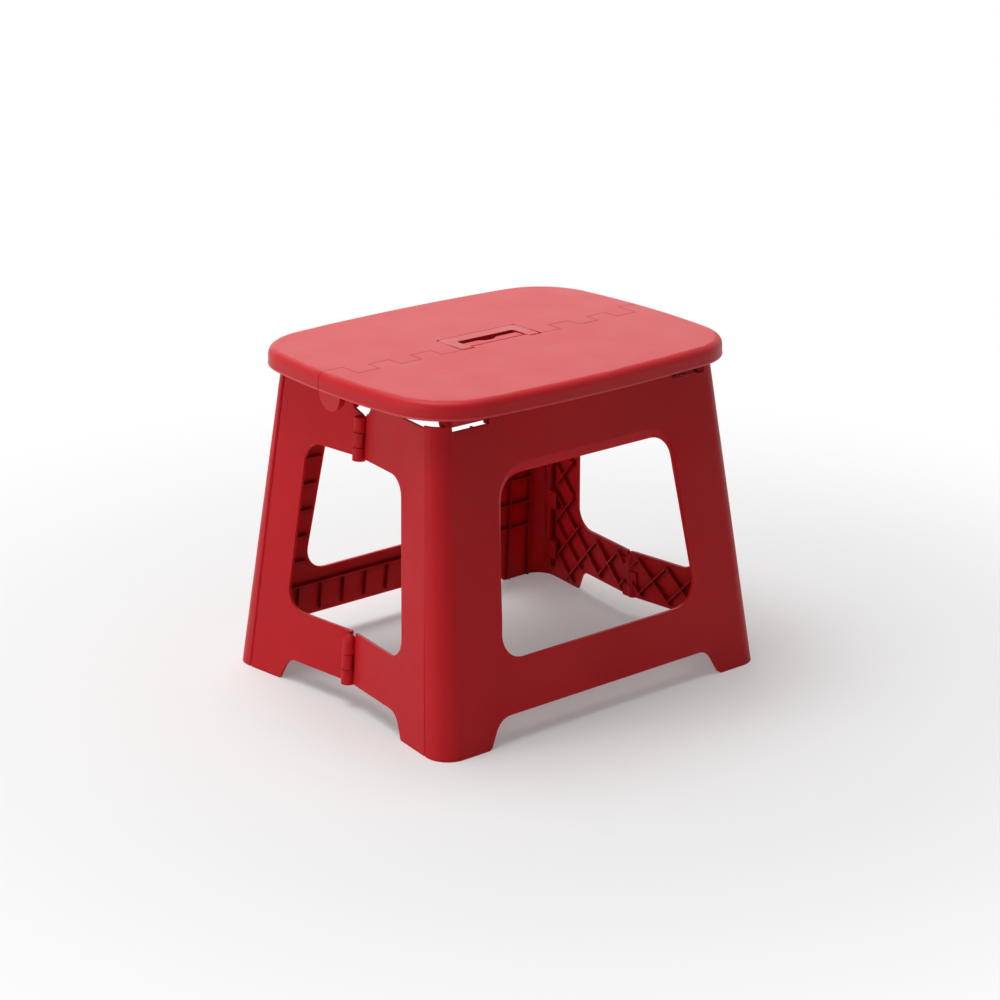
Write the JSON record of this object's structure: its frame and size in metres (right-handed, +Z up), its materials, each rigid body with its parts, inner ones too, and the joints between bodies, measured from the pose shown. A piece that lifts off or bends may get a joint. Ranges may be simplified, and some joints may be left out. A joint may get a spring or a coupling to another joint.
{
  "type": "folding step stool",
  "caption": "Folding plastic step stool: oval-cornered seat hinged along its middle over panels and side leaves that fold flat when the carry handle is pulled up.",
  "frame": {"origin": "middle of the footprint, on the floor that the feet stand on", "axes": "+X along the seat's centre seam, +Y towards the back end panel, +Z up"},
  "size_m": [0.329, 0.277, 0.27],
  "materials": {
    "seat_plastic": "satin moulded polypropylene, red",
    "handle_plastic": "satin moulded polypropylene, red",
    "panel_plastic": "satin moulded polypropylene, red",
    "leaf_plastic": "satin moulded polypropylene, red",
    "pin_plastic": "plain moulded plastic pins, red"
  },
  "bodies": {
    "back_frame": {"back_end_panel": "panel_plastic", "back_hinge_pin_left": "pin_plastic", "back_hinge_pin_right": "pin_plastic", "corner_pin_left_back_low": "pin_plastic", "corner_pin_left_back_high": "pin_plastic", "corner_pin_right_back_low": "pin_plastic", "corner_pin_right_back_high": "pin_plastic"},
    "seat_back_body": {"seat_back": "seat_plastic", "seam_pin_left": "pin_plastic", "seam_pin_right": "pin_plastic"},
    "seat_front_body": {"seat_front": "seat_plastic", "handle_pins": "pin_plastic", "front_hinge_pin_left": "pin_plastic", "front_hinge_pin_right": "pin_plastic"},
    "handle_body": {"pull_handle": "handle_plastic"},
    "left_back": {"left_back_leaf": "leaf_plastic", "side_pin_left_low": "pin_plastic", "side_pin_left_high": "pin_plastic"},
    "left_front": {"left_front_leaf": "leaf_plastic"},
    "front_frame": {"front_end_panel": "panel_plastic", "corner_pin_left_front_low": "pin_plastic", "corner_pin_left_front_high": "pin_plastic", "corner_pin_right_front_low": "pin_plastic", "corner_pin_right_front_high": "pin_plastic"},
    "right_back": {"right_back_leaf": "leaf_plastic", "side_pin_right_low": "pin_plastic", "side_pin_right_high": "pin_plastic"},
    "right_front": {"right_front_leaf": "leaf_plastic"}
  },
  "joints": [
    {"name": "seat_fold", "type": "hinge", "parent": "seat_back_body", "child": "seat_front_body", "pos_m": [0, 0, 0.2555], "axis": [1, 0, 0], "range_deg": [0, 161.6]},
    {"name": "back_panel_hinge", "type": "hinge", "parent": "back_frame", "child": "seat_back_body", "pos_m": [0, 0.097, 0.25], "axis": [1, 0, 0], "range_deg": [-77.01, 0]},
    {"name": "handle_lift", "type": "hinge", "parent": "seat_front_body", "child": "handle_body", "pos_m": [0, -0.0045, 0.2665], "axis": [1, 0, 0], "range_deg": [0, 90]},
    {"name": "left_back_corner", "type": "hinge", "parent": "back_frame", "child": "left_back", "pos_m": [-0.1585, 0.1194, 0], "axis": [0.0874, -0.106, 0.9905], "range_deg": [0, 83.99]},
    {"name": "left_side_hinge", "type": "hinge", "parent": "left_back", "child": "left_front", "pos_m": [-0.15235, 0, 0], "axis": [0.0824, 0, 0.9966], "range_deg": [-166.84, 0]},
    {"name": "left_front_corner", "type": "hinge", "parent": "left_front", "child": "front_frame", "pos_m": [-0.1585, -0.1194, 0], "axis": [0.0874, 0.106, 0.9905], "range_deg": [0, 83.99]},
    {"name": "right_front_corner", "type": "hinge", "parent": "front_frame", "child": "right_front", "pos_m": [0.1585, -0.1194, 0], "axis": [-0.0874, 0.106, 0.9905], "range_deg": [0, 83.99]},
    {"name": "right_back_corner", "type": "hinge", "parent": "back_frame", "child": "right_back", "pos_m": [0.1585, 0.1194, 0], "axis": [-0.0874, -0.106, 0.9905], "range_deg": [-83.99, 0]}
  ],
  "couplings": [
    {"joint": "back_panel_hinge", "follows": "seat_fold", "ratio": -0.4765},
    {"joint": "left_back_corner", "follows": "seat_fold", "ratio": 0.5197},
    {"joint": "left_side_hinge", "follows": "seat_fold", "ratio": -1.0324},
    {"joint": "left_front_corner", "follows": "seat_fold", "ratio": 0.5197},
    {"joint": "right_front_corner", "follows": "seat_fold", "ratio": 0.5197},
    {"joint": "right_back_corner", "follows": "seat_fold", "ratio": -0.5197}
  ]
}
